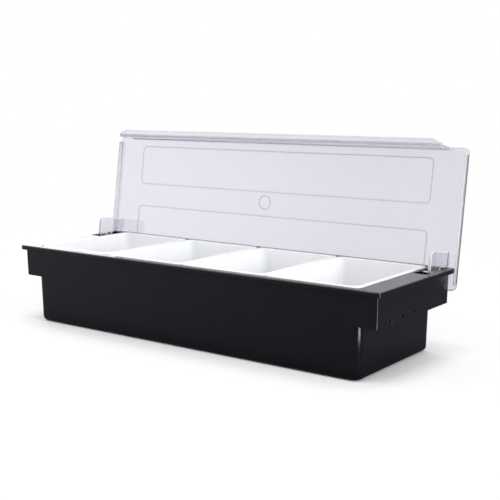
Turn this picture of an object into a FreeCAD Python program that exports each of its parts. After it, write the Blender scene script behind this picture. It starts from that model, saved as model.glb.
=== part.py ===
"""Chilled condiment server: a black tub, four white food inserts, a clear hinged lid and two cold packs.

Frame: X along the length, Y from front to back, Z up. The origin is under the tub's centre, on the table.
Lengths are in millimetres and angles in degrees.
"""
import FreeCAD, Part
import os
import Sketcher

# Sizes that can be set one by one
SIZES = {
    # Base moulding
    "rim_length": 480.0,
    "rim_depth": 158.8,
    "rim_top": 88.7,
    "rim_overhang": 4.6,
    "rim_drop": 5.3,
    "rim_corner": 4.3,
    "rim_edge": 1.1,
    "wall_draft": 1.6,
    "wall_thick": 3.0,
    "floor_thick": 3.0,
    "bottom_round": 4.7,
    "cavity_corner": 5.7,
    "grip_height": 35.7,
    "grip_inset": 18.2,
    "grip_corner": 2.0,
    "ledge_thick": 3.0,
    "shelf_thick": 3.0,
    # Holes in the end grips
    "vent_radius": 1.9,
    "vent_pitch": 24.0,
    "vent_rise": 3.6,
    # Hinge
    "pivot_inset": 27.4,
    "pivot_drop": 2.5,
    "pin_radius": 1.5,
    "pin_socket": 4.4,
    "pin_play": 0.08,
    "ear_play": 0.5,
    "pocket_margin": 0.6,
    "boss_radius": 5.0,
    "boss_length": 1.3,
    "stop_rib_place": 150.0,
    "stop_rib_width": 6.0,
    "stop_rib_height": 10.0,
    "stop_gap": 0.2,
    # Lid
    "lid_overhang": 1.7,
    "lid_back": 17.5,
    "lid_thick": 2.8,
    "lid_corner": 6.0,
    "lid_edge": 0.8,
    "lid_gap": 0.4,
    "lid_lean": 8.6,
    "flange_depth": 5.0,
    "flange_thick": 1.3,
    "flange_setback": 1.0,
    "front_wall_setback": 19.2,
    "front_wall_seat": 1.8,
    "front_wall_thick": 2.5,
    "lip_out": 6.0,
    "lip_straight": 1.8,
    "lip_slope": 10.0,
    "lip_round": 12.0,
    "lip_gap": 0.3,
    "ear_thick": 2.8,
    "ear_width": 22.2,
    "ear_drop": 12.2,
    "ear_heel": 6.0,
    "ear_root": 14.9,
    "ear_neck": 13.0,
    "ear_throat": 9.0,
    "ear_round": 5.0,
    "mark_end": 38.6,
    "mark_edge": 11.9,
    "mark_space": 28.4,
    "mark_sink": 0.5,
    "mark_corner": 5.0,
    "gate_radius": 8.0,
    "gate_space": 4.2,
    "gate_shift": 6.5,
    # Food inserts
    "insert_proud": 0.4,
    "insert_gap": 0.4,
    "insert_floor_gap": 5.5,
    "insert_draft": 4.0,
    "insert_wall": 2.0,
    "insert_corner": 9.0,
    "insert_bottom_round": 4.5,
    "insert_flange": 3.6,
    "insert_flange_thick": 2.2,
    "insert_flange_corner": 8.0,
    "insert_edge": 0.7,
    # Feet
    "foot_radius": 7.0,
    "foot_proud": 0.8,
    "foot_recess": 1.2,
    "foot_setback": 22.0,
    "foot_edge": 0.4,
    # Cold packs
    "pack_gap": 10.0,
    "pack_space": 4.0,
    "pack_height": 15.0,
    "pack_wall": 1.6,
    "pack_corner": 10.0,
    "pack_edge": 4.0,
    "gel_gap": 0.3,
    "filler_radius": 7.0,
    "filler_setback": 24.0,
    "plug_gap": 0.1,
    "plug_rim": 2.5,
    "plug_head": 1.4,
}

# Sizes that follow from those above
FITS = {
    # Half lengths and depths of the leaning walls, at the rim and lower down
    "lean": "sizes.wall_draft / (sizes.rim_top - sizes.foot_proud)",
    "rim_low": "sizes.rim_top - sizes.rim_drop",
    "wall_x": "sizes.rim_length / 2 - sizes.rim_overhang",
    "wall_y": "sizes.rim_depth / 2 - sizes.rim_overhang",
    "tub_x": "wall_x - sizes.grip_inset",
    "tub_corner": "sizes.cavity_corner + sizes.wall_thick",
    "tub_x_low": "tub_x - sizes.wall_draft",
    "tub_y_low": "wall_y - sizes.wall_draft",
    "grip_low": "sizes.rim_top - sizes.grip_height",
    "grip_x_low": "wall_x - lean * sizes.grip_height",
    "grip_y_low": "wall_y - lean * sizes.grip_height",
    "floor_top": "sizes.foot_proud + sizes.floor_thick",
    "cavity_x": "tub_x - sizes.wall_thick",
    "cavity_y": "wall_y - sizes.wall_thick",
    "cavity_x_low": "cavity_x - lean * (sizes.rim_top - floor_top)",
    "cavity_y_low": "cavity_y - lean * (sizes.rim_top - floor_top)",
    # Hollow of an end grip, from its open bottom to the underside of the ledge
    "ledge_low": "sizes.rim_top - sizes.ledge_thick",
    "hollow_in_low": "tub_x - lean * sizes.grip_height",
    "hollow_in": "tub_x - lean * sizes.ledge_thick",
    "hollow_out_low": "grip_x_low - sizes.wall_thick",
    "hollow_out": "wall_x - lean * sizes.ledge_thick - sizes.wall_thick",
    "hollow_y_low": "grip_y_low - sizes.wall_thick",
    "hollow_y": "wall_y - lean * sizes.ledge_thick - sizes.wall_thick",
    # Cold packs, half their length and depth
    "pack_x": "(cavity_x_low - sizes.pack_gap - sizes.pack_space / 2) / 2",
    "pack_y": "cavity_y_low - sizes.pack_gap",
    "pack_top": "floor_top + sizes.pack_height",
    "gel_x": "pack_x - sizes.pack_wall - sizes.gel_gap",
    "gel_y": "pack_y - sizes.pack_wall - sizes.gel_gap",
    "gel_height": "sizes.pack_height - 2 * sizes.pack_wall - sizes.gel_gap",
    # Seat of the inserts
    "seat_z": "sizes.rim_top + sizes.insert_proud - sizes.insert_flange_thick",
    "shelf_low": "seat_z - sizes.shelf_thick",
    "shelf_x": "cavity_x - lean * (sizes.rim_top - shelf_low)",
    "shelf_y": "cavity_y - lean * (sizes.rim_top - shelf_low)",
    "insert_pitch": "(shelf_x - sizes.insert_gap) / 2",
    "flange_x": "insert_pitch / 2 - sizes.insert_gap / 2",
    "flange_y": "shelf_y - sizes.insert_gap",
    "insert_x": "flange_x - sizes.insert_flange",
    "insert_y": "flange_y - sizes.insert_flange",
    "insert_x_low": "insert_x - sizes.insert_draft",
    "insert_y_low": "insert_y - sizes.insert_draft",
    "insert_top": "seat_z + sizes.insert_flange_thick",
    "insert_low": "pack_top + sizes.plug_head + sizes.insert_floor_gap",
    "insert_floor": "insert_low + sizes.insert_wall",
    "shelf_in_x": "1.5 * insert_pitch + insert_x + sizes.insert_gap",
    "shelf_in_y": "insert_y + sizes.insert_gap",
    # Hinge axis and the lid about it, lid closed
    "pivot_y": "sizes.rim_depth / 2 - sizes.pivot_inset",
    "pivot_z": "sizes.rim_top - sizes.pivot_drop",
    "lid_reach": "sqrt(sizes.pivot_inset ^ 2 + sizes.pivot_drop ^ 2) + sizes.lid_gap",
    "lid_top": "lid_reach + sizes.lid_thick",
    "lid_x": "sizes.rim_length / 2 + sizes.lid_overhang",
    "lid_front": "sizes.front_wall_seat - sizes.rim_depth / 2 - pivot_y",
    "lid_middle": "(sizes.lid_back + lid_front) / 2",
    "flange_end": "sizes.lid_corner + sizes.flange_setback",
    "mark_x": "lid_x - sizes.mark_end",
    "mark_out": "(sizes.lid_back - lid_front) / 2 - sizes.mark_edge",
    "gate_y": "lid_middle - sizes.mark_space / 2 + sizes.gate_space + sizes.gate_radius",
    "front_wall_x": "lid_x - sizes.front_wall_setback",
    "lip_low": "sizes.pivot_drop + sizes.lip_gap",
    "ear_out": "hollow_out - sizes.boss_length - sizes.ear_play",
    "ear_x": "ear_out - sizes.ear_thick / 2",
    "ear_sweep": "sqrt((sizes.ear_width - sizes.ear_round) ^ 2 + (sizes.ear_drop - sizes.ear_round) ^ 2)"
                 " + sizes.ear_round",
    "pocket_front": "pivot_y - ear_sweep - sizes.pocket_margin",
    "pin_start": "tub_x - sizes.wall_thick",
    "pin_end": "hollow_out + sizes.pin_socket",
    # Where the lid's back edge comes to when it stands open
    "edge_y": "pivot_y + sizes.lid_back * cos((90 + sizes.lid_lean) * 1 deg)"
              " + lid_reach * sin((90 + sizes.lid_lean) * 1 deg)",
    "edge_z": "pivot_z - sizes.lid_back * sin((90 + sizes.lid_lean) * 1 deg)"
              " + lid_reach * cos((90 + sizes.lid_lean) * 1 deg)",
}

SIDES = {"left": -1, "right": 1}
TOLERANCE = 0.01

doc = FreeCAD.newDocument("condiment_server")


def fill_sheet(name, cells):
    """A sheet with one named cell a row."""
    sheet = doc.addObject("Spreadsheet::Sheet", name)
    for row, (alias, content) in enumerate(cells.items(), 1):
        sheet.set(f"A{row}", alias)
        sheet.set(f"B{row}", content)
        sheet.setAlias(f"B{row}", alias)
    doc.recompute()
    return sheet


sizes = fill_sheet("sizes", {name: str(value) for name, value in SIZES.items()})
fits = fill_sheet("fits", {name: "=" + formula for name, formula in FITS.items()})


def new_body(label):
    """An empty body that becomes one sub-part."""
    body = doc.addObject("PartDesign::Body", label)
    body.Label = label
    return body


def number(body, formula):
    """The present value of a formula on the sheets."""
    return float(body.evalExpression(formula))


def plane(body, role):
    """One of the body's own origin planes."""
    return next(f for f in body.Origin.OriginFeatures if f.Role == role)


def wedge(body, kind, name, low, high, heights):
    """A block with leaning sides: low and high are (left, right, front, back) at the two heights."""
    block = body.newObject(f"PartDesign::{kind}Wedge", name)
    block.AttachmentSupport = [(plane(body, "XY_Plane"), "")]
    block.MapMode = "FlatFace"
    upright = FreeCAD.Rotation(FreeCAD.Vector(1, 0, 0), 90)
    block.AttachmentOffset = FreeCAD.Placement(FreeCAD.Vector(), upright)
    formulas = dict(zip(("Xmin", "Xmax", "Zmin", "Zmax"), low))
    formulas.update(zip(("X2min", "X2max", "Z2min", "Z2max"), high))
    formulas.update(zip(("Ymin", "Ymax"), heights))
    for prop, formula in formulas.items():
        block.setExpression(prop, formula)
    doc.recompute()
    return block


def around(x, y):
    """The four sides of a rectangle about the middle, from its half sizes."""
    return (f"-({x})", x, f"-({y})", y)


def rectangle(left, right, low, high):
    """The corners of a rectangle."""
    return [(left, low), (right, low), (right, high), (left, high)]


def bind(sketch, number_of, formula):
    """Ties a sketch's constraint to the sheets."""
    sketch.setExpression(f"Constraints[{number_of}]", formula)


def sketch_on(body, name, role, offset, loops=(), circles=()):
    """A sketch of closed loops of corners and of circles (x, y, radius), all given as formulas."""
    sketch = body.newObject("Sketcher::SketchObject", name)
    sketch.AttachmentSupport = [(plane(body, role), "")]
    sketch.MapMode = "FlatFace"
    sketch.setExpression("AttachmentOffset.Base.z", offset)
    for corners in loops:
        first = sketch.GeometryCount
        places = [FreeCAD.Vector(number(body, x), number(body, y), 0) for x, y in corners]
        for here, there in zip(places, places[1:] + places[:1]):
            sketch.addGeometry(Part.LineSegment(here, there), False)
        for i, (x, y) in enumerate(corners):
            line = first + i
            following = first + (i + 1) % len(corners)
            sketch.addConstraint(Sketcher.Constraint("Coincident", line, 2, following, 1))
            across = Sketcher.Constraint("DistanceX", -1, 1, line, 1, places[i].x)
            bind(sketch, sketch.addConstraint(across), x)
            along = Sketcher.Constraint("DistanceY", -1, 1, line, 1, places[i].y)
            bind(sketch, sketch.addConstraint(along), y)
    for x, y, radius in circles:
        centre = FreeCAD.Vector(number(body, x), number(body, y), 0)
        size = number(body, radius)
        ring = sketch.addGeometry(Part.Circle(centre, FreeCAD.Vector(0, 0, 1), size), False)
        bind(sketch, sketch.addConstraint(Sketcher.Constraint("DistanceX", -1, 1, ring, 3, centre.x)), x)
        bind(sketch, sketch.addConstraint(Sketcher.Constraint("DistanceY", -1, 1, ring, 3, centre.y)), y)
        bind(sketch, sketch.addConstraint(Sketcher.Constraint("Radius", ring, size)), radius)
    return sketch


def pad(body, name, sketch, length, backwards=False):
    """Material raised from a sketch."""
    feature = body.newObject("PartDesign::Pad", name)
    feature.Profile = sketch
    feature.Reversed = backwards
    feature.setExpression("Length", length)
    doc.recompute()
    return feature


def cut(body, name, sketch, length, backwards=False):
    """Material taken away under a sketch, or over it if backwards."""
    before = body.Shape.Volume
    feature = body.newObject("PartDesign::Pocket", name)
    feature.Profile = sketch
    feature.Reversed = backwards
    feature.setExpression("Length", length)
    doc.recompute()
    if feature.Shape.Volume > before - TOLERANCE:
        raise RuntimeError(f"{name} cuts nothing")
    return feature


def round_edges(body, name, radius, keep):
    """Rounds the edges whose two ends keep accepts."""
    base = body.Tip
    chosen = []
    for i, edge in enumerate(base.Shape.Edges, 1):
        ends = [v.Point for v in edge.Vertexes]
        if len(ends) == 2 and keep(*ends):
            chosen.append(f"Edge{i}")
    if not chosen:
        raise RuntimeError(f"{name} finds no edge")
    feature = body.newObject("PartDesign::Fillet", name)
    feature.Base = (base, chosen)
    feature.setExpression("Radius", radius)
    doc.recompute()
    return feature


def same(a, b):
    """Whether two measures agree."""
    return abs(a - b) < TOLERANCE


def rising(low, high):
    """Accepts edges that rise from one height to another."""
    def keep(a, b):
        return same(min(a.z, b.z), low) and same(max(a.z, b.z), high)
    return keep


def level(z, inside=None, outside=None):
    """Accepts edges at one height, all inside or all outside a half length and depth."""
    def keep(a, b):
        if not (same(a.z, z) and same(b.z, z)):
            return False
        if inside and not all(abs(p.x) < inside[0] and abs(p.y) < inside[1] for p in (a, b)):
            return False
        return not outside or all(abs(p.x) > outside[0] or abs(p.y) > outside[1] for p in (a, b))
    return keep


def build_shell(body):
    """Tub, end grips and rim, still solid."""
    wedge(body, "Additive", "tub", around("fits.tub_x_low", "fits.tub_y_low"),
          around("fits.tub_x", "fits.wall_y"), ("sizes.foot_proud", "sizes.rim_top"))
    round_edges(body, "tub_corners", "fits.tub_corner", rising(sizes.foot_proud, sizes.rim_top))
    round_edges(body, "tub_bottom", "sizes.bottom_round", level(sizes.foot_proud))
    wedge(body, "Additive", "grips", around("fits.grip_x_low", "fits.grip_y_low"),
          around("fits.wall_x", "fits.wall_y"), ("fits.grip_low", "sizes.rim_top"))
    round_edges(body, "grip_corners", "sizes.grip_corner", rising(fits.grip_low, sizes.rim_top))
    half_rim = ("sizes.rim_length / 2", "sizes.rim_depth / 2")
    outline = sketch_on(body, "rim_outline", "XY_Plane", "fits.rim_low", [rectangle(*around(*half_rim))])
    pad(body, "rim", outline, "sizes.rim_drop")
    wall = (fits.wall_x + TOLERANCE, fits.wall_y + TOLERANCE)
    round_edges(body, "rim_corners", "sizes.rim_corner", rising(fits.rim_low, sizes.rim_top))
    round_edges(body, "rim_upper_edge", "sizes.rim_edge", level(sizes.rim_top))
    round_edges(body, "rim_lower_edge", "sizes.rim_edge", level(fits.rim_low, outside=wall))


def build_cavity(body):
    """The tub's inside, with the shelf that carries the inserts."""
    wedge(body, "Subtractive", "cavity", around("fits.cavity_x_low", "fits.cavity_y_low"),
          around("fits.cavity_x", "fits.cavity_y"), ("fits.floor_top", "sizes.rim_top"))
    inside = (fits.cavity_x + TOLERANCE, fits.cavity_y + TOLERANCE)
    floor = level(fits.floor_top, inside=inside)
    round_edges(body, "cavity_corners", "sizes.cavity_corner", rising(fits.floor_top, sizes.rim_top))
    round_edges(body, "cavity_floor", "sizes.wall_thick", floor)
    outer = rectangle(*around("fits.shelf_x + sizes.wall_thick / 2", "fits.shelf_y + sizes.wall_thick / 2"))
    inner = rectangle(*around("fits.shelf_in_x", "fits.shelf_in_y"))
    ring = sketch_on(body, "shelf_outline", "XY_Plane", "fits.shelf_low", [outer, inner])
    pad(body, "shelf", ring, "sizes.shelf_thick")


def build_grip(body, side, sign):
    """One end grip's hollow, its hinge pocket and pin socket, and its vent holes."""
    def across(inner, outer):
        return (inner, outer) if sign > 0 else (f"-({outer})", f"-({inner})")
    wedge(body, "Subtractive", f"{side}_hollow",
          (*across("fits.hollow_in_low", "fits.hollow_out_low"), "-fits.hollow_y_low", "fits.hollow_y_low"),
          (*across("fits.hollow_in", "fits.hollow_out"), "-fits.hollow_y", "fits.hollow_y"),
          ("fits.grip_low", "fits.ledge_low"))
    pocket = rectangle(*across("fits.hollow_in", "fits.hollow_out"), "fits.pocket_front", "fits.hollow_y")
    mouth = sketch_on(body, f"{side}_pocket_outline", "XY_Plane", "sizes.rim_top", [pocket])
    cut(body, f"{side}_pocket", mouth, "sizes.ledge_thick")
    boss = rectangle(*across("fits.ear_out + sizes.ear_play", "fits.hollow_out + sizes.wall_thick / 2"),
                     "fits.pivot_y - sizes.boss_radius", "fits.pivot_y + sizes.boss_radius")
    foot = sketch_on(body, f"{side}_boss_outline", "XY_Plane", "fits.pivot_z - sizes.boss_radius", [boss])
    pad(body, f"{side}_boss", foot, "sizes.boss_radius + sizes.pivot_drop")
    bore = sketch_on(body, f"{side}_socket_outline", "YZ_Plane", f"{sign} * fits.shelf_in_x",
                     circles=[("fits.pivot_y", "fits.pivot_z", "sizes.pin_radius")])
    cut(body, f"{side}_socket", bore, "fits.pin_end - fits.shelf_in_x", backwards=sign > 0)
    height = "fits.grip_low + sizes.vent_rise"
    vents = [(f"-{n} * sizes.vent_pitch", height, "sizes.vent_radius") for n in range(3)]
    holes = sketch_on(body, f"{side}_vent_outline", "YZ_Plane", f"{sign} * fits.wall_x", circles=vents)
    cut(body, f"{side}_vents", holes, "sizes.wall_thick * 2", backwards=sign < 0)


def foot_places():
    """Each foot's corner of the tub, as signs along the length and the depth."""
    return {f"foot_{row}_{side}": (sign, depth) for row, depth in (("front", -1), ("back", 1))
            for side, sign in SIDES.items()}


def build_base():
    """The black moulding."""
    body = new_body("base_tub")
    build_shell(body)
    build_cavity(body)
    for side, sign in SIDES.items():
        build_grip(body, side, sign)
    recesses = [(f"{sign} * (fits.tub_x_low - sizes.foot_setback)",
                 f"{depth} * (fits.tub_y_low - sizes.foot_setback)", "sizes.foot_radius")
                for sign, depth in foot_places().values()]
    seats = sketch_on(body, "foot_outline", "XY_Plane", "sizes.foot_proud", circles=recesses)
    cut(body, "foot_recesses", seats, "sizes.foot_recess", backwards=True)
    ribs = [rectangle(f"{sign} * sizes.stop_rib_place - sizes.stop_rib_width / 2",
                      f"{sign} * sizes.stop_rib_place + sizes.stop_rib_width / 2",
                      "fits.cavity_y + sizes.wall_thick / 2", "fits.edge_y - sizes.stop_gap")
            for sign in SIDES.values()]
    rib_foot = sketch_on(body, "rib_outline", "XY_Plane", "fits.edge_z - sizes.stop_rib_height / 4", ribs)
    pad(body, "stop_ribs", rib_foot, "sizes.stop_rib_height")
    return body


def build_lid_panel(body):
    """The lid's panel, end flanges, front wall and finger lip."""
    outline = rectangle("-fits.lid_x", "fits.lid_x", "fits.lid_front", "sizes.lid_back")
    pad(body, "panel", sketch_on(body, "panel_outline", "XY_Plane", "fits.lid_reach", [outline]),
        "sizes.lid_thick")
    round_edges(body, "panel_corners", "sizes.lid_corner", rising(fits.lid_reach, fits.lid_top))
    round_edges(body, "panel_edge", "sizes.lid_edge", level(fits.lid_top))
    ends = [rectangle(f"{sign} * (fits.lid_x - sizes.flange_thick / 2) - sizes.flange_thick / 2",
                      f"{sign} * (fits.lid_x - sizes.flange_thick / 2) + sizes.flange_thick / 2",
                      "fits.lid_front + fits.flange_end", "sizes.lid_back - fits.flange_end")
            for sign in SIDES.values()]
    pad(body, "end_flanges", sketch_on(body, "flange_outline", "XY_Plane", "fits.lid_reach", ends),
        "sizes.flange_depth", backwards=True)
    front = rectangle("-fits.front_wall_x", "fits.front_wall_x",
                      "fits.lid_front", "fits.lid_front + sizes.front_wall_thick")
    pad(body, "front_wall", sketch_on(body, "front_outline", "XY_Plane", "fits.lid_reach", [front]),
        "fits.lid_reach - fits.lip_low", backwards=True)
    root, knee = "fits.lid_front + sizes.front_wall_thick", "fits.lid_front - sizes.lip_straight"
    tip, end = "fits.lid_front - sizes.lip_out", "fits.front_wall_x"
    lip = [(f"-{end}", root), (f"-{end}", knee), (f"-{end} + sizes.lip_slope", tip),
           (f"{end} - sizes.lip_slope", tip), (end, knee), (end, root)]
    pad(body, "finger_lip", sketch_on(body, "lip_outline", "XY_Plane", "fits.lip_low", [lip]),
        "sizes.lid_thick")
    tip_y = number(body, tip)
    def lip_corner(a, b):
        return same(a.y, tip_y) and same(b.y, tip_y) and same(a.x, b.x)
    round_edges(body, "lip_corners", "sizes.lip_round", lip_corner)


def build_lid_marks(body):
    """The two sunk rectangles and the round gate mark on the lid's outer face."""
    near, far = "sizes.mark_space / 2", "fits.mark_out"
    marks = [rectangle("-fits.mark_x", "fits.mark_x", f"fits.lid_middle + {low}", f"fits.lid_middle + {high}")
             for low, high in ((near, far), (f"-{far}", f"-{near}"))]
    gate = ("-sizes.gate_shift", "fits.gate_y", "sizes.gate_radius")
    cut(body, "panel_marks", sketch_on(body, "mark_outline", "XY_Plane", "fits.lid_top", marks, [gate]),
        "sizes.mark_sink")
    sunk = rising(fits.lid_top - sizes.mark_sink, fits.lid_top)
    def mark_corner(a, b):
        return sunk(a, b) and same(abs(a.x), fits.mark_x)
    round_edges(body, "mark_corners", "sizes.mark_corner", mark_corner)


def build_ear(body, side, sign):
    """One hinge ear: it hangs from the panel into the pocket and turns on the pin."""
    corners = {
        "root_front": ("-sizes.ear_width", "fits.lid_reach + sizes.lid_thick / 2"),
        "toe": ("-sizes.ear_width", "-sizes.ear_drop"),
        "sole": ("-sizes.ear_heel / 3", "-sizes.ear_drop"),
        "heel_low": ("sizes.ear_heel", "-sizes.ear_heel"),
        "heel_high": ("sizes.ear_heel", "0"),
        "throat": ("-sizes.ear_throat", "fits.lid_reach - sizes.ear_neck"),
        "root_back": ("sizes.ear_root - sizes.ear_width", "fits.lid_reach + sizes.lid_thick / 2"),
    }
    bore = ("0", "0", "sizes.pin_radius + sizes.pin_play")
    outline = sketch_on(body, f"{side}_ear_outline", "YZ_Plane", f"{sign} * fits.ear_x - sizes.ear_thick / 2",
                        [list(corners.values())], [bore])
    pad(body, f"{side}_ear", outline, "sizes.ear_thick")
    rounded = [[number(body, formula) for formula in corners[name]]
               for name in ("toe", "sole", "heel_low", "heel_high", "throat")]
    def ear_corner(a, b):
        on_ear = a.x * sign > 0 and same(abs(a.x - b.x), sizes.ear_thick)
        return on_ear and any(same(a.y, y) and same(a.z, z) for y, z in rounded)
    round_edges(body, f"{side}_ear_corners", "sizes.ear_round", ear_corner)


def build_lid():
    """The clear lid, drawn closed about its hinge axis and then stood open."""
    body = new_body("lid")
    build_lid_panel(body)
    build_lid_marks(body)
    for side, sign in SIDES.items():
        build_ear(body, side, sign)
    opening = FreeCAD.Rotation(FreeCAD.Vector(-1, 0, 0), 90)
    body.Placement = FreeCAD.Placement(FreeCAD.Vector(), opening)
    body.setExpression("Placement.Base.y", "fits.pivot_y")
    body.setExpression("Placement.Base.z", "fits.pivot_z")
    body.setExpression("Placement.Rotation.Angle", "(90 + sizes.lid_lean) * 1 deg")
    return body


def build_insert(place):
    """One white food insert, hung by its flange; place counts from the left."""
    body = new_body(f"insert_{place}")
    wedge(body, "Additive", "outside", around("fits.insert_x_low", "fits.insert_y_low"),
          around("fits.insert_x", "fits.insert_y"), ("fits.insert_low", "fits.seat_z"))
    rim = sketch_on(body, "flange_outline", "XY_Plane", "fits.seat_z",
                    [rectangle(*around("fits.flange_x", "fits.flange_y"))])
    pad(body, "flange", rim, "sizes.insert_flange_thick")
    wall = "sizes.insert_wall"
    wedge(body, "Subtractive", "inside",
          around(f"fits.insert_x_low - {wall}", f"fits.insert_y_low - {wall}"),
          around(f"fits.insert_x - {wall}", f"fits.insert_y - {wall}"),
          ("fits.insert_floor", "fits.insert_top"))
    round_edges(body, "inner_corners", "sizes.insert_corner", rising(fits.insert_floor, fits.insert_top))
    round_edges(body, "inner_bottom", "sizes.insert_bottom_round", level(fits.insert_floor))
    round_edges(body, "outer_corners", f"sizes.insert_corner + {wall}", rising(fits.insert_low, fits.seat_z))
    round_edges(body, "outer_bottom", f"sizes.insert_bottom_round + {wall}", level(fits.insert_low))
    round_edges(body, "flange_corners", "sizes.insert_flange_corner", rising(fits.seat_z, fits.insert_top))
    round_edges(body, "flange_edges", "sizes.insert_edge", level(fits.insert_top))
    body.setExpression("Placement.Base.x", f"({place} - 2.5) * fits.insert_pitch")
    return body


def build_pin(side, sign):
    """One hinge pin, pushed from inside the tub into its blind socket."""
    body = new_body(f"hinge_pin_{side}")
    outline = sketch_on(body, "pin_outline", "YZ_Plane", "0", circles=[("0", "0", "sizes.pin_radius")])
    pad(body, "pin", outline, "fits.pin_end - fits.pin_start")
    start = "fits.pin_start" if sign > 0 else "-fits.pin_end"
    body.setExpression("Placement.Base.x", start)
    body.setExpression("Placement.Base.y", "fits.pivot_y")
    body.setExpression("Placement.Base.z", "fits.pivot_z")
    return body


def build_foot(label, sign, depth):
    """One non-slip pad, let into the underside."""
    body = new_body(label)
    outline = sketch_on(body, "foot_outline", "XY_Plane", "0", circles=[("0", "0", "sizes.foot_radius")])
    disc = pad(body, "disc", outline, "sizes.foot_proud + sizes.foot_recess")
    rim = next(i for i, e in enumerate(disc.Shape.Edges, 1) if e.Closed and same(e.CenterOfMass.z, 0))
    soft = body.newObject("PartDesign::Fillet", "worn_edge")
    soft.Base = (disc, [f"Edge{rim}"])
    soft.setExpression("Radius", "sizes.foot_edge")
    body.setExpression("Placement.Base.x", f"{sign} * (fits.tub_x_low - sizes.foot_setback)")
    body.setExpression("Placement.Base.y", f"{depth} * (fits.tub_y_low - sizes.foot_setback)")
    return body


def place_in_pack(body, sign, height):
    """Puts a piece of a cold pack at its end of the tub floor."""
    body.setExpression("Placement.Base.x", f"{sign} * (fits.pack_x + sizes.pack_space / 2)")
    body.setExpression("Placement.Base.z", height)


def build_pack_shell(side, sign, filler):
    """The hollow shell of one cold pack, with its filler hole."""
    body = new_body(f"cold_pack_{side}")
    block = rectangle(*around("fits.pack_x", "fits.pack_y"))
    pad(body, "block", sketch_on(body, "outline", "XY_Plane", "0", [block]), "sizes.pack_height")
    void = around("fits.pack_x - sizes.pack_wall", "fits.pack_y - sizes.pack_wall")
    wedge(body, "Subtractive", "void", void, void,
          ("sizes.pack_wall", "sizes.pack_height - sizes.pack_wall"))
    round_edges(body, "void_corners", "sizes.pack_corner",
                rising(sizes.pack_wall, sizes.pack_height - sizes.pack_wall))
    round_edges(body, "corners", "sizes.pack_corner + sizes.pack_wall", rising(0, sizes.pack_height))
    round_edges(body, "upper_edge", "sizes.pack_edge", level(sizes.pack_height))
    round_edges(body, "lower_edge", "sizes.pack_edge", level(0))
    mouth = sketch_on(body, "filler_outline", "XY_Plane", "sizes.pack_height",
                      circles=[(*filler, "sizes.filler_radius")])
    cut(body, "filler", mouth, "sizes.pack_wall")
    place_in_pack(body, sign, "fits.floor_top")
    return body


def build_gel(side, sign):
    """The gel in one cold pack."""
    body = new_body(f"cold_gel_{side}")
    fill = rectangle(*around("fits.gel_x", "fits.gel_y"))
    pad(body, "fill", sketch_on(body, "fill_outline", "XY_Plane", "0", [fill]), "fits.gel_height")
    round_edges(body, "fill_corners", "sizes.pack_corner - sizes.gel_gap", rising(0, fits.gel_height))
    place_in_pack(body, sign, "fits.floor_top + sizes.pack_wall")
    return body


def build_plug(side, sign, filler):
    """The plug that closes one cold pack."""
    body = new_body(f"filler_plug_{side}")
    stem = sketch_on(body, "stem_outline", "XY_Plane", "0",
                     circles=[(*filler, "sizes.filler_radius - sizes.plug_gap")])
    pad(body, "stem", stem, "sizes.pack_wall", backwards=True)
    cap = sketch_on(body, "cap_outline", "XY_Plane", "0",
                    circles=[(*filler, "sizes.filler_radius + sizes.plug_rim")])
    pad(body, "cap", cap, "sizes.plug_head")
    place_in_pack(body, sign, "fits.pack_top")
    return body


def build_cold_pack(side, sign):
    """One refillable cold pack: its shell, the gel in it and its filler plug."""
    filler = (f"{sign} * (fits.pack_x - sizes.filler_setback)", "0")
    return [build_pack_shell(side, sign, filler), build_gel(side, sign), build_plug(side, sign, filler)]


def check(pieces):
    """Stops if a feature failed or a sub-part isn't one sound solid."""
    doc.recompute()
    failed = [o.Name for o in doc.Objects if "Invalid" in o.State or "Error" in o.State]
    if failed:
        raise RuntimeError(f"failed features: {failed}")
    for piece in pieces:
        shape = piece.Shape
        if shape.isNull() or not shape.isValid() or len(shape.Solids) != 1:
            raise RuntimeError(f"{piece.Label} isn't one sound solid")


def main():
    pieces = [build_base(), build_lid()]
    pieces += [build_insert(place) for place in range(1, 5)]
    pieces += [build_pin(side, sign) for side, sign in SIDES.items()]
    pieces += [build_foot(label, *corner) for label, corner in foot_places().items()]
    for side, sign in SIDES.items():
        pieces += build_cold_pack(side, sign)
    check(pieces)
    os.makedirs("parts", exist_ok=True)
    for piece in pieces:
        piece.Shape.exportStep(f"parts/{piece.Label}.step")
        box = piece.Shape.BoundBox
        print(f"{piece.Label}: {box.XLength:.1f} x {box.YLength:.1f} x {box.ZLength:.1f} mm,"
              f" {piece.Shape.Volume / 1000:.1f} cm3")


main()
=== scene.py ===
"""Looks of the chilled condiment server, laid out as a Blender add-on and run as a script.

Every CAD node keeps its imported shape. This file gives each one its finish and sets a plain
studio round it.
"""
import math

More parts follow.
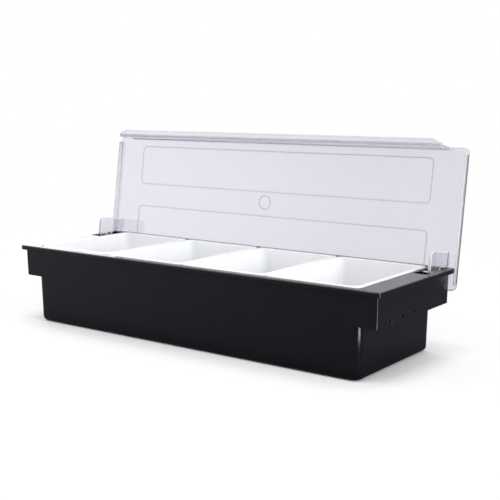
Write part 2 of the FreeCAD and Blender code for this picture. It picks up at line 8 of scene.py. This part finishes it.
import bmesh
import bpy
from bpy.props import FloatProperty, FloatVectorProperty, PointerProperty
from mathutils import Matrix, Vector


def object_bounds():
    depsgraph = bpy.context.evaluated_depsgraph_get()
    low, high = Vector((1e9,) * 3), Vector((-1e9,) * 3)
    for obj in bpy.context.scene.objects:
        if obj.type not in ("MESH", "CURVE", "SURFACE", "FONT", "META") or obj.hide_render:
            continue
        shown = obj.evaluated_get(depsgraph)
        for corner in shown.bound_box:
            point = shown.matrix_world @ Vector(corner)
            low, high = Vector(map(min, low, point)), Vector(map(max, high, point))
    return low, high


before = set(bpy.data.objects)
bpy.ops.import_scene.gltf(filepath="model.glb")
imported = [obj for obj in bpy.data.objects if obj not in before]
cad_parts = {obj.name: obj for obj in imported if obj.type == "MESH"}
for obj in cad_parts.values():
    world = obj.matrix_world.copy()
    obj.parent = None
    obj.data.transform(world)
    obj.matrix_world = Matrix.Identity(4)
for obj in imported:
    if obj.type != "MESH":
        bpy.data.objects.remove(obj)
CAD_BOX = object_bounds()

bl_info = {
    "name": "Condiment server finishes",
    "version": (1, 0, 0),
    "blender": (4, 5, 0),
    "location": "3D View > Sidebar > Server",
    "description": "Gives the packed server its materials and sets a plain studio round it",
    "category": "Material",
}

SIDES = ("left", "right")
INSERTS = [f"insert_{place}" for place in range(1, 5)]
FEET = [f"foot_{row}_{side}" for row in ("front", "back") for side in SIDES]

MM = 0.001
WHITE = (1.0, 1.0, 1.0, 1.0)

# Sockets of a Mix node that is set to mix colours
COLOUR_A, COLOUR_B, COLOUR_OUT = 6, 7, 2

# How clear the lid is across its panel, on the moulded borders of the marks and on its edges
PANEL_CLARITY, BORDER_CLARITY, EDGE_CLARITY = 0.92, 0.5, 0.0

# Share of the floor's own white that is back close to the server; the rest comes further out
NEAR_WHITE = 0.78

# Light panels of the surround: the direction to the middle, the cosines where the panel starts
# and where it is full, and its full level
LIGHT_PANELS = (
    {"middle": (0.0, 0.0, 1.0), "start": 0.4, "full": 0.95, "level": 1.28},
    {"middle": (-0.86, -0.46, 0.2), "start": 0.8, "full": 0.98, "level": 2.0},
    {"middle": (-0.9, 0.42, 0.12), "start": 0.8, "full": 0.97, "level": 2.2},
)

# The camera's sensor in millimetres, and the nearest and furthest it sees in metres
SENSOR_WIDTH = 36.0
CLIP_START, CLIP_END = 0.01, 100.0


def linear(code):
    """An sRGB hex colour as linear red, green and blue."""
    parts = [int(code[i:i + 2], 16) / 255 for i in (1, 3, 5)]
    return tuple(v / 12.92 if v <= 0.04045 else ((v + 0.055) / 1.055) ** 2.4 for v in parts)


def opaque(colour):
    """A colour with full alpha, as a shader socket takes it."""
    return (*colour, 1.0)


def per_metre(size_mm):
    """The scale that makes a texture's features this many millimetres across."""
    return 1000.0 / size_mm


def facing(direction):
    """The turn that points a lamp or the camera in a direction."""
    return direction.to_track_quat("-Z", "Y").to_euler()


def add_node(tree, kind, inputs=None, **settings):
    """Adds a node with its settings; each input is a value or a socket to link."""
    node = tree.nodes.new(kind)
    for name, value in settings.items():
        setattr(node, name, value)
    for name, value in (inputs or {}).items():
        if isinstance(value, bpy.types.NodeSocket):
            tree.links.new(value, node.inputs[name])
        else:
            node.inputs[name].default_value = value
    return node


def new_material(name):
    """An empty node material, its tree and the coordinates that its patterns read."""
    material = bpy.data.materials.new(name)
    material.use_nodes = True
    tree = material.node_tree
    tree.nodes.clear()
    return material, tree, add_node(tree, "ShaderNodeTexCoord").outputs["Object"]


def turned_edges(tree, radius_mm, samples, flat, turned, most=1.0):
    """A mask of where the surface turns within a radius, and its normal eased over that radius.

    The mask rises from nothing to most as the cosine of the turn goes from flat to turned.
    """
    true_normal = add_node(tree, "ShaderNodeNewGeometry").outputs["Normal"]
    eased_normal = add_node(
        tree, "ShaderNodeBevel", {"Radius": radius_mm * MM}, samples=samples).outputs["Normal"]
    turning = add_node(
        tree, "ShaderNodeVectorMath", {0: true_normal, 1: eased_normal}, operation="DOT_PRODUCT")
    mask = add_node(tree, "ShaderNodeMapRange", {
        "Value": turning.outputs["Value"], "From Min": flat, "From Max": turned, "To Max": most})
    return mask.outputs["Result"], eased_normal


def dress(material, nodes):
    """Puts a material on CAD nodes."""
    for name in nodes:
        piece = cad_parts[name]
        piece.data.materials.clear()
        piece.data.materials.append(material)


class ServerFinish(bpy.types.PropertyGroup):
    """Colours and gloss of the server's pieces"""
    tub_colour: FloatVectorProperty(
        name="Tub", description="Colour of the black moulding",
        subtype="COLOR", min=0, max=1, default=linear("#0F0F13"))
    tub_roughness: FloatProperty(
        name="Tub roughness", description="How much the moulding blurs what it mirrors",
        subtype="FACTOR", min=0, max=1, default=0.15)
    lid_colour: FloatVectorProperty(
        name="Lid", description="Tint of the clear lid",
        subtype="COLOR", min=0, max=1, default=linear("#E7E5EE"))
    insert_colour: FloatVectorProperty(
        name="Inserts", description="Colour of the food inserts",
        subtype="COLOR", min=0, max=1, default=linear("#F3F4F6"))
    pin_colour: FloatVectorProperty(
        name="Hinge pins", description="Colour of the steel pins",
        subtype="COLOR", min=0, max=1, default=linear("#C9C8C6"))
    foot_colour: FloatVectorProperty(
        name="Feet", description="Colour of the rubber pads",
        subtype="COLOR", min=0, max=1, default=linear("#242426"))
    pack_colour: FloatVectorProperty(
        name="Cold packs", description="Colour of the packs' shells",
        subtype="COLOR", min=0, max=1, default=linear("#D6E4F0"))
    gel_colour: FloatVectorProperty(
        name="Gel", description="Colour of the cooling gel",
        subtype="COLOR", min=0, max=1, default=linear("#6FA8DC"))
    plug_colour: FloatVectorProperty(
        name="Filler plugs", description="Colour of the packs' plugs",
        subtype="COLOR", min=0, max=1, default=linear("#2C6CB0"))


class ServerStudio(bpy.types.PropertyGroup):
    """The camera, the floor and the light"""
    azimuth: FloatProperty(
        name="Azimuth", description="Turn of the camera from the front towards the right",
        subtype="ANGLE", default=math.radians(36.3523))
    elevation: FloatProperty(
        name="Elevation", description="Height of the camera over the horizon",
        subtype="ANGLE", default=math.radians(9.0261))
    distance: FloatProperty(
        name="Distance", description="From the camera to the point it looks at",
        subtype="DISTANCE", unit="LENGTH", default=1.031852)
    target: FloatVectorProperty(
        name="Target", description="The point the camera looks at",
        subtype="TRANSLATION", unit="LENGTH", default=(0.0381623, 0.0, 0.0984854))
    lens: FloatProperty(
        name="Lens", description="Focal length on a 36 mm sensor, in millimetres",
        min=1, default=69.135)
    floor_size: FloatProperty(
        name="Floor", description="Side of the floor",
        subtype="DISTANCE", unit="LENGTH", default=30.0)
    ambient: FloatProperty(
        name="Ambient", description="Level of the light from all round",
        min=0, default=0.2)
    mirrored: FloatProperty(
        name="Mirrored floor", description="How much of the floor's white glossy surfaces show",
        subtype="FACTOR", min=0, max=1, default=0.04)
    surround: FloatProperty(
        name="Mirrored surround", description="Level that glossy surfaces show between the panels",
        subtype="FACTOR", min=0, max=1, default=0.5)


def glossy_black_abs(finish):
    """ABS moulded in a polished tool: deep black, with a faint orange peel, and paler edges that
    are partly rubbed wear and partly a painted highlight.
    """
    material, tree, place = new_material("glossy_black_abs")
    # Handling leaves soft smudges about 35 mm across that dull the gloss a little
    smudges = add_node(tree, "ShaderNodeTexNoise", {
        "Vector": place, "Scale": per_metre(35), "Detail": 4.0})
    dulled = add_node(tree, "ShaderNodeMapRange", {
        "Value": smudges.outputs["Fac"], "From Min": 0.35, "From Max": 0.7,
        "To Min": finish.tub_roughness * 0.8, "To Max": finish.tub_roughness * 1.4})
    # Hairline scratches, 0.8 mm apart and some 60 mm long
    stretched = add_node(tree, "ShaderNodeMapping", {
        "Vector": place, "Rotation": (0.1, 0.2, 0.3),
        "Scale": (per_metre(60), per_metre(0.8), per_metre(0.8))})
    hairs = add_node(tree, "ShaderNodeTexNoise", {
        "Vector": stretched.outputs["Vector"], "Scale": 1.0, "Detail": 1.0})
    scratched = add_node(tree, "ShaderNodeMapRange", {
        "Value": hairs.outputs["Fac"], "From Min": 0.66, "From Max": 0.78,
        "To Min": 0.0, "To Max": 0.06})
    rough = add_node(tree, "ShaderNodeMath", {
        0: dulled.outputs["Result"], 1: scratched.outputs["Result"]}, operation="ADD")
    # Edges are paler over 0.7 mm: wear where hands and cloths rub them, and a painted highlight
    # along them
    wear_and_painted_highlight, eased_normal = turned_edges(
        tree, radius_mm=0.7, samples=6, flat=0.97, turned=0.8, most=0.3)
    # Painted highlight mixed with wear: the edges take a paler grey
    colour = add_node(tree, "ShaderNodeMix", {
        "Factor": wear_and_painted_highlight, COLOUR_A: opaque(finish.tub_colour),
        COLOUR_B: opaque(linear("#2A2A2E"))}, data_type="RGBA")
    # Orange peel of the mould, drawn at 5 mm so that it shows, over a 60 mm sink wave
    peel = add_node(tree, "ShaderNodeTexNoise", {
        "Vector": place, "Scale": per_metre(5), "Detail": 1.0})
    sink = add_node(tree, "ShaderNodeTexNoise", {
        "Vector": place, "Scale": per_metre(60), "Detail": 0.0})
    fine = add_node(tree, "ShaderNodeBump", {
        "Height": peel.outputs["Fac"], "Strength": 0.08, "Distance": 0.3 * MM,
        "Normal": eased_normal})
    waved = add_node(tree, "ShaderNodeBump", {
        "Height": sink.outputs["Fac"], "Strength": 0.2, "Distance": 1.5 * MM,
        "Normal": fine.outputs["Normal"]})
    surface = add_node(tree, "ShaderNodeBsdfPrincipled", {
        "Base Color": colour.outputs[COLOUR_OUT], "Roughness": rough.outputs["Value"],
        "IOR": 1.53, "Normal": waved.outputs["Normal"]})
    add_node(tree, "ShaderNodeOutputMaterial", {"Surface": surface.outputs["BSDF"]})
    return material


def clear_polycarbonate(finish):
    """Moulded polycarbonate: clear with a lavender cast, a painted highlight on its borders and
    edges, and a lightly used face.
    """
    material, tree, place = new_material("clear_polycarbonate")
    # Wiping leaves a haze in patches about 50 mm across
    haze = add_node(tree, "ShaderNodeTexNoise", {
        "Vector": place, "Scale": per_metre(50), "Detail": 5.0})
    hazed = add_node(tree, "ShaderNodeMapRange", {
        "Value": haze.outputs["Fac"], "From Min": 0.3, "From Max": 0.75,
        "To Min": 0.03, "To Max": 0.09})
    # Within 1.5 mm of the moulded borders of the marks and 3 mm of the edges, the lid is painted
    # white and made less clear: a painted highlight for the glints along them
    border, eased_normal = turned_edges(
        tree, radius_mm=1.5, samples=8, flat=0.9995, turned=0.99)
    edge, _ = turned_edges(tree, radius_mm=3.0, samples=8, flat=0.99, turned=0.9)
    # Painted highlight: the lid's colour is mixed towards white on the borders and the edges
    border_painted_highlight = add_node(tree, "ShaderNodeMix", {
        "Factor": border, COLOUR_A: opaque(finish.lid_colour), COLOUR_B: WHITE},
        data_type="RGBA")
    tint_and_painted_highlight = add_node(tree, "ShaderNodeMix", {
        "Factor": edge, COLOUR_A: border_painted_highlight.outputs[COLOUR_OUT],
        COLOUR_B: opaque(linear("#F6F5FC"))}, data_type="RGBA")
    at_borders = add_node(tree, "ShaderNodeMapRange", {
        "Value": border, "To Min": PANEL_CLARITY, "To Max": BORDER_CLARITY})
    at_edges = add_node(tree, "ShaderNodeMapRange", {
        "Value": edge, "To Min": PANEL_CLARITY, "To Max": EDGE_CLARITY})
    clarity = add_node(tree, "ShaderNodeMath", {
        0: at_borders.outputs["Result"], 1: at_edges.outputs["Result"]}, operation="MINIMUM")
    rough = add_node(tree, "ShaderNodeMath", {
        0: edge, 1: 0.2, 2: hazed.outputs["Result"]}, operation="MULTIPLY_ADD")
    # Melt flow leaves a slow wave of about 45 mm in the panel
    flow = add_node(tree, "ShaderNodeTexNoise", {
        "Vector": place, "Scale": per_metre(45), "Detail": 1.0})
    waved = add_node(tree, "ShaderNodeBump", {
        "Height": flow.outputs["Fac"], "Strength": 0.15, "Distance": 1.0 * MM,
        "Normal": eased_normal})
    surface = add_node(tree, "ShaderNodeBsdfPrincipled", {
        "Base Color": tint_and_painted_highlight.outputs[COLOUR_OUT], "Roughness": rough.outputs["Value"],
        "IOR": 1.585, "Transmission Weight": clarity.outputs["Value"],
        "Normal": waved.outputs["Normal"]})
    inside = add_node(tree, "ShaderNodeVolumeAbsorption", {
        "Color": opaque(linear("#A9A2D6")), "Density": 4.0})
    add_node(tree, "ShaderNodeOutputMaterial", {
        "Surface": surface.outputs["BSDF"], "Volume": inside.outputs["Volume"]})
    return material


def white_polypropylene(finish):
    """Moulded polypropylene: bright white and softly glossy, and light sinks a little way in."""
    material, tree, place = new_material("white_polypropylene")
    # Use dulls the gloss in patches of about 25 mm
    patches = add_node(tree, "ShaderNodeTexNoise", {
        "Vector": place, "Scale": per_metre(25), "Detail": 3.0})
    rough = add_node(tree, "ShaderNodeMapRange", {
        "Value": patches.outputs["Fac"], "From Min": 0.3, "From Max": 0.7,
        "To Min": 0.29, "To Max": 0.42})
    tone = add_node(tree, "ShaderNodeMix", {
        "Factor": patches.outputs["Fac"], COLOUR_A: opaque(finish.insert_colour),
        COLOUR_B: opaque(linear("#EEEFF2"))}, data_type="RGBA")
    # The tool's fine stipple, drawn at 1.2 mm so that it shows
    stipple = add_node(tree, "ShaderNodeTexNoise", {
        "Vector": place, "Scale": per_metre(1.2), "Detail": 2.0})
    grained = add_node(tree, "ShaderNodeBump", {
        "Height": stipple.outputs["Fac"], "Strength": 0.05, "Distance": 0.1 * MM})
    surface = add_node(tree, "ShaderNodeBsdfPrincipled", {
        "Base Color": tone.outputs[COLOUR_OUT], "Roughness": rough.outputs["Result"],
        "IOR": 1.49, "Subsurface Weight": 0.15, "Subsurface Radius": (1.0, 0.9, 0.8),
        "Subsurface Scale": 2.0 * MM, "Normal": grained.outputs["Normal"]})
    add_node(tree, "ShaderNodeOutputMaterial", {"Surface": surface.outputs["BSDF"]})
    return material


def drawn_stainless(finish):
    """Drawn stainless wire: bright, with fine lines along its length."""
    material, tree, place = new_material("drawn_stainless")
    # Die lines 0.15 mm apart and 30 mm long
    stretched = add_node(tree, "ShaderNodeMapping", {
        "Vector": place, "Scale": (per_metre(30), per_metre(0.15), per_metre(0.15))})
    lines = add_node(tree, "ShaderNodeTexNoise", {
        "Vector": stretched.outputs["Vector"], "Scale": 1.0, "Detail": 2.0})
    rough = add_node(tree, "ShaderNodeMapRange", {
        "Value": lines.outputs["Fac"], "To Min": 0.18, "To Max": 0.36})
    scored = add_node(tree, "ShaderNodeBump", {
        "Height": lines.outputs["Fac"], "Strength": 0.1, "Distance": 0.05 * MM})
    surface = add_node(tree, "ShaderNodeBsdfPrincipled", {
        "Base Color": opaque(finish.pin_colour), "Metallic": 1.0,
        "Roughness": rough.outputs["Result"], "Normal": scored.outputs["Normal"]})
    add_node(tree, "ShaderNodeOutputMaterial", {"Surface": surface.outputs["BSDF"]})
    return material


def soft_rubber(finish):
    """Die-cut rubber pad: matte near-black with a fine sandy face."""
    material, tree, place = new_material("soft_rubber")
    # Grit of about 0.5 mm
    grit = add_node(tree, "ShaderNodeTexNoise", {
        "Vector": place, "Scale": per_metre(0.5), "Detail": 3.0})
    tone = add_node(tree, "ShaderNodeMix", {
        "Factor": grit.outputs["Fac"], COLOUR_A: opaque(finish.foot_colour),
        COLOUR_B: opaque(linear("#2F2F31"))}, data_type="RGBA")
    sandy = add_node(tree, "ShaderNodeBump", {
        "Height": grit.outputs["Fac"], "Strength": 0.35, "Distance": 0.1 * MM})
    surface = add_node(tree, "ShaderNodeBsdfPrincipled", {
        "Base Color": tone.outputs[COLOUR_OUT], "Roughness": 0.85, "IOR": 1.52,
        "Normal": sandy.outputs["Normal"]})
    add_node(tree, "ShaderNodeOutputMaterial", {"Surface": surface.outputs["BSDF"]})
    return material


def frosted_polyethylene(finish):
    """Blow-moulded polyethylene: milky, soft to the touch and a little uneven."""
    material, tree, place = new_material("frosted_polyethylene")
    # The wall's thickness wanders over about 18 mm
    uneven = add_node(tree, "ShaderNodeTexNoise", {
        "Vector": place, "Scale": per_metre(18), "Detail": 3.0})
    tone = add_node(tree, "ShaderNodeMix", {
        "Factor": uneven.outputs["Fac"], COLOUR_A: opaque(finish.pack_colour),
        COLOUR_B: opaque(linear("#C2D6E8"))}, data_type="RGBA")
    rough = add_node(tree, "ShaderNodeMapRange", {
        "Value": uneven.outputs["Fac"], "To Min": 0.38, "To Max": 0.55})
    rippled = add_node(tree, "ShaderNodeBump", {
        "Height": uneven.outputs["Fac"], "Strength": 0.3, "Distance": 0.8 * MM})
    surface = add_node(tree, "ShaderNodeBsdfPrincipled", {
        "Base Color": tone.outputs[COLOUR_OUT], "Roughness": rough.outputs["Result"],
        "IOR": 1.54, "Transmission Weight": 0.25, "Subsurface Weight": 0.3,
        "Subsurface Radius": (0.8, 0.9, 1.0), "Subsurface Scale": 3.0 * MM,
        "Normal": rippled.outputs["Normal"]})
    add_node(tree, "ShaderNodeOutputMaterial", {"Surface": surface.outputs["BSDF"]})
    return material


def cooling_gel(finish):
    """Cellulose gel: wet, blue and cloudy."""
    material, tree, place = new_material("cooling_gel")
    # Clouds of about 9 mm where the gel is thicker
    clouds = add_node(tree, "ShaderNodeTexNoise", {
        "Vector": place, "Scale": per_metre(9), "Detail": 4.0})
    tone = add_node(tree, "ShaderNodeMix", {
        "Factor": clouds.outputs["Fac"], COLOUR_A: opaque(finish.gel_colour),
        COLOUR_B: opaque(linear("#9CC6EA"))}, data_type="RGBA")
    surface = add_node(tree, "ShaderNodeBsdfPrincipled", {
        "Base Color": tone.outputs[COLOUR_OUT], "Roughness": 0.12, "IOR": 1.34,
        "Transmission Weight": 0.4})
    add_node(tree, "ShaderNodeOutputMaterial", {"Surface": surface.outputs["BSDF"]})
    return material


def blue_polypropylene(finish):
    """Moulded polypropylene plug: satin blue with a fine grain."""
    material, tree, place = new_material("blue_polypropylene")
    # Grain of about 0.8 mm
    grain = add_node(tree, "ShaderNodeTexNoise", {
        "Vector": place, "Scale": per_metre(0.8), "Detail": 2.0})
    tone = add_node(tree, "ShaderNodeMix", {
        "Factor": grain.outputs["Fac"], COLOUR_A: opaque(finish.plug_colour),
        COLOUR_B: opaque(linear("#3A7CC0"))}, data_type="RGBA")
    grained = add_node(tree, "ShaderNodeBump", {
        "Height": grain.outputs["Fac"], "Strength": 0.1, "Distance": 0.1 * MM})
    surface = add_node(tree, "ShaderNodeBsdfPrincipled", {
        "Base Color": tone.outputs[COLOUR_OUT], "Roughness": 0.42, "IOR": 1.49,
        "Normal": grained.outputs["Normal"]})
    add_node(tree, "ShaderNodeOutputMaterial", {"Surface": surface.outputs["BSDF"]})
    return material


def seen_and_mirrored(tree, share):
    """What the camera sees, also through the lid, and a share of what glossy surfaces mirror."""
    ray = add_node(tree, "ShaderNodeLightPath").outputs
    seen = add_node(tree, "ShaderNodeMath", {
        0: ray["Is Camera Ray"], 1: ray["Is Transmission Ray"]}, operation="MAXIMUM")
    mirrored = add_node(tree, "ShaderNodeMath", {
        0: ray["Is Glossy Ray"], 1: share}, operation="MULTIPLY")
    return seen.outputs["Value"], mirrored.outputs["Value"]


def pale_floor(footprint, share):
    """Matte board: white to the camera but for the server's shadow, and grey when mirrored."""
    material, tree, place = new_material("pale_floor")
    seen, mirrored = seen_and_mirrored(tree, share)
    shown = add_node(
        tree, "ShaderNodeMath", {0: seen, 1: mirrored}, operation="MAXIMUM").outputs["Value"]
    # What the server mirrors is paler at the left than at the right
    spot = add_node(tree, "ShaderNodeSeparateXYZ", {"Vector": place})
    along = add_node(tree, "ShaderNodeMapRange", {
        "Value": spot.outputs["X"], "From Min": -0.6, "From Max": 0.5})
    grey = add_node(tree, "ShaderNodeMix", {
        "Factor": along.outputs["Result"], COLOUR_A: opaque(linear("#858693")),
        COLOUR_B: opaque(linear("#303138"))}, data_type="RGBA")
    tone = add_node(tree, "ShaderNodeMix", {
        "Factor": shown, COLOUR_A: grey.outputs[COLOUR_OUT],
        COLOUR_B: opaque(linear("#F6F6F6"))}, data_type="RGBA")
    board = add_node(tree, "ShaderNodeBsdfDiffuse", {"Color": tone.outputs[COLOUR_OUT]})
    white = add_node(tree, "ShaderNodeEmission", {"Color": WHITE, "Strength": 1.0})
    # How far a place lies outside the server's footprint, in metres
    folded = add_node(tree, "ShaderNodeVectorMath", {0: place}, operation="ABSOLUTE")
    outside = add_node(tree, "ShaderNodeVectorMath", {
        0: folded.outputs["Vector"], 1: footprint}, operation="SUBTRACT")
    sides = add_node(tree, "ShaderNodeSeparateXYZ", {"Vector": outside.outputs["Vector"]})
    away = add_node(tree, "ShaderNodeMath", {
        0: sides.outputs["X"], 1: sides.outputs["Y"]}, operation="MAXIMUM").outputs["Value"]
    # The shadow stays dark under the server, and fades out to plain white
    near = add_node(tree, "ShaderNodeMapRange", {
        "Value": away, "From Min": -0.01, "From Max": 0.02, "To Max": NEAR_WHITE})
    far = add_node(tree, "ShaderNodeMapRange", {
        "Value": away, "From Min": 0.05, "From Max": 0.6, "To Max": 1.0 - NEAR_WHITE})
    plain = add_node(tree, "ShaderNodeMath", {
        0: near.outputs["Result"], 1: far.outputs["Result"]}, operation="ADD")
    factor = add_node(tree, "ShaderNodeMath", {
        0: shown, 1: plain.outputs["Value"]}, operation="MULTIPLY")
    mixed = add_node(tree, "ShaderNodeMixShader", {
        0: factor.outputs["Value"], 1: board.outputs["BSDF"], 2: white.outputs["Emission"]})
    add_node(tree, "ShaderNodeOutputMaterial", {"Surface": mixed.outputs["Shader"]})
    return material


def studio_world(ambient, surround):
    """Soft light from panels above and at the left, and plain white where the camera looks."""
    world = bpy.data.worlds.new("studio_world")
    world.use_nodes = True
    tree = world.node_tree
    tree.nodes.clear()
    direction = add_node(tree, "ShaderNodeTexCoord").outputs["Generated"]
    level = ambient
    for panel in LIGHT_PANELS:
        towards = add_node(tree, "ShaderNodeVectorMath", {
            0: direction, 1: panel["middle"]}, operation="DOT_PRODUCT")
        glow = add_node(tree, "ShaderNodeMapRange", {
            "Value": towards.outputs["Value"], "From Min": panel["start"],
            "From Max": panel["full"], "To Max": panel["level"]},
            interpolation_type="SMOOTHSTEP")
        level = add_node(tree, "ShaderNodeMath", {
            0: glow.outputs["Result"], 1: level}, operation="ADD").outputs["Value"]
    # Glossy surfaces show some of the white between the panels
    seen, mirrored = seen_and_mirrored(tree, surround)
    level = add_node(tree, "ShaderNodeMath", {
        0: level, 1: mirrored}, operation="MAXIMUM").outputs["Value"]
    panelled = add_node(tree, "ShaderNodeBackground", {"Color": WHITE, "Strength": level})
    white = add_node(tree, "ShaderNodeBackground", {"Color": WHITE, "Strength": 1.0})
    mixed = add_node(tree, "ShaderNodeMixShader", {
        0: seen, 1: panelled.outputs["Background"], 2: white.outputs["Background"]})
    add_node(tree, "ShaderNodeOutputWorld", {"Surface": mixed.outputs["Shader"]})
    return world


def softbox(name, size, place, turn, power, spread=math.pi):
    """A soft rectangular lamp that the camera doesn't see, directly or through the lid."""
    lamp = bpy.data.lights.new(name, "AREA")
    lamp.shape = "RECTANGLE"
    lamp.size, lamp.size_y = size
    lamp.energy = power
    lamp.spread = spread
    stand = bpy.data.objects.new(name, lamp)
    bpy.context.scene.collection.objects.link(stand)
    stand.location = place
    stand.rotation_euler = turn
    stand.visible_camera = False
    stand.visible_transmission = False


def set_lamps():
    """Places the three lamps, in metres and watts."""
    # A tall softbox with a grid lights the right end
    place, aim = Vector((1.5, -0.16, 0.45)), Vector((0.0, 0.0, 0.07))
    softbox("right_softbox", size=(0.3, 0.7), place=place, turn=facing(aim - place),
            power=1.3, spread=math.radians(50))
    # A narrow strip at the upper left gives thin glints on rounded edges
    place, aim = Vector((-0.75, -1.05, 1.1)), Vector((0.0, 0.085, 0.15))
    softbox("upper_strip", size=(1.1, 0.06), place=place, turn=facing(aim - place), power=3.0)
    # A strip lies on the floor, faces up and draws a line down the near corners
    softbox("floor_strip", size=(0.07, 0.44), place=(0.542, -0.156, 0.004),
            turn=(math.pi, 0.0, math.radians(74)), power=0.75)


def set_floor(studio):
    """Lays the floor under the server."""
    sheet = bmesh.new()
    bmesh.ops.create_grid(sheet, x_segments=2, y_segments=2, size=studio.floor_size / 2)
    mesh = bpy.data.meshes.new("floor")
    sheet.to_mesh(mesh)
    sheet.free()
    floor = bpy.data.objects.new("floor", mesh)
    bpy.context.scene.collection.objects.link(floor)
    mesh.materials.append(pale_floor(Vector(CAD_BOX[1]), studio.mirrored))


def set_camera(studio):
    """Sets up the camera and looks through it."""
    scene = bpy.context.scene
    turn, rise = studio.azimuth, studio.elevation
    back = Vector((
        math.sin(turn) * math.cos(rise), -math.cos(turn) * math.cos(rise), math.sin(rise)))
    camera = bpy.data.objects.new("camera", bpy.data.cameras.new("camera"))
    camera.data.sensor_width, camera.data.lens = SENSOR_WIDTH, studio.lens
    camera.data.clip_start, camera.data.clip_end = CLIP_START, CLIP_END
    scene.collection.objects.link(camera)
    camera.location = Vector(studio.target) + back * studio.distance
    camera.rotation_euler = facing(-back)
    scene.camera = camera


class SERVER_OT_finish_tub(bpy.types.Operator):
    """Gives the tub its glossy black plastic"""
    bl_idname = "server.finish_tub"
    bl_label = "Finish tub"

    def execute(self, context):
        dress(glossy_black_abs(context.scene.server_finish), ["base_tub"])
        return {"FINISHED"}


class SERVER_OT_finish_lid(bpy.types.Operator):
    """Gives the lid its clear plastic"""
    bl_idname = "server.finish_lid"
    bl_label = "Finish lid"

    def execute(self, context):
        dress(clear_polycarbonate(context.scene.server_finish), ["lid"])
        return {"FINISHED"}


class SERVER_OT_finish_inserts(bpy.types.Operator):
    """Gives the four food inserts their white plastic"""
    bl_idname = "server.finish_inserts"
    bl_label = "Finish inserts"

    def execute(self, context):
        dress(white_polypropylene(context.scene.server_finish), INSERTS)
        return {"FINISHED"}


class SERVER_OT_finish_hinge(bpy.types.Operator):
    """Gives the two hinge pins their drawn steel"""
    bl_idname = "server.finish_hinge"
    bl_label = "Finish hinge pins"

    def execute(self, context):
        pins = [f"hinge_pin_{side}" for side in SIDES]
        dress(drawn_stainless(context.scene.server_finish), pins)
        return {"FINISHED"}


class SERVER_OT_finish_feet(bpy.types.Operator):
    """Gives the four pads their rubber"""
    bl_idname = "server.finish_feet"
    bl_label = "Finish feet"

    def execute(self, context):
        dress(soft_rubber(context.scene.server_finish), FEET)
        return {"FINISHED"}


class SERVER_OT_finish_cold_packs(bpy.types.Operator):
    """Gives the cold packs their shells, gel and plugs"""
    bl_idname = "server.finish_cold_packs"
    bl_label = "Finish cold packs"

    def execute(self, context):
        finish = context.scene.server_finish
        dress(frosted_polyethylene(finish), [f"cold_pack_{side}" for side in SIDES])
        dress(cooling_gel(finish), [f"cold_gel_{side}" for side in SIDES])
        dress(blue_polypropylene(finish), [f"filler_plug_{side}" for side in SIDES])
        return {"FINISHED"}


class SERVER_OT_set_stage(bpy.types.Operator):
    """Sets the floor, the light and the camera"""
    bl_idname = "server.set_stage"
    bl_label = "Set stage"

    def execute(self, context):
        studio = context.scene.server_studio
        context.scene.view_settings.view_transform = "Standard"
        context.scene.world = studio_world(studio.ambient, studio.surround)
        set_floor(studio)
        set_lamps()
        set_camera(studio)
        return {"FINISHED"}


class SERVER_PT_sidebar(bpy.types.Panel):
    """Lists the finishes and the steps that apply them"""
    bl_label = "Condiment server"
    bl_idname = "SERVER_PT_sidebar"
    bl_space_type = "VIEW_3D"
    bl_region_type = "UI"
    bl_category = "Server"

    def draw(self, context):
        for group in (context.scene.server_finish, context.scene.server_studio):
            for name in group.__annotations__:
                self.layout.prop(group, name)
        for step in STEPS:
            self.layout.operator(step.bl_idname)


STEPS = (
    SERVER_OT_finish_tub, SERVER_OT_finish_lid, SERVER_OT_finish_inserts, SERVER_OT_finish_hinge,
    SERVER_OT_finish_feet, SERVER_OT_finish_cold_packs, SERVER_OT_set_stage)
CLASSES = (ServerFinish, ServerStudio, *STEPS, SERVER_PT_sidebar)


def register():
    for each in CLASSES:
        bpy.utils.register_class(each)
    bpy.types.Scene.server_finish = PointerProperty(type=ServerFinish)
    bpy.types.Scene.server_studio = PointerProperty(type=ServerStudio)


def unregister():
    del bpy.types.Scene.server_studio
    del bpy.types.Scene.server_finish
    for each in reversed(CLASSES):
        bpy.utils.unregister_class(each)


def main():
    register()
    bpy.ops.server.finish_tub()
    bpy.ops.server.finish_lid()
    bpy.ops.server.finish_inserts()
    bpy.ops.server.finish_hinge()
    bpy.ops.server.finish_feet()
    bpy.ops.server.finish_cold_packs()
    bpy.ops.server.set_stage()


if __name__ == "__main__":
    main()
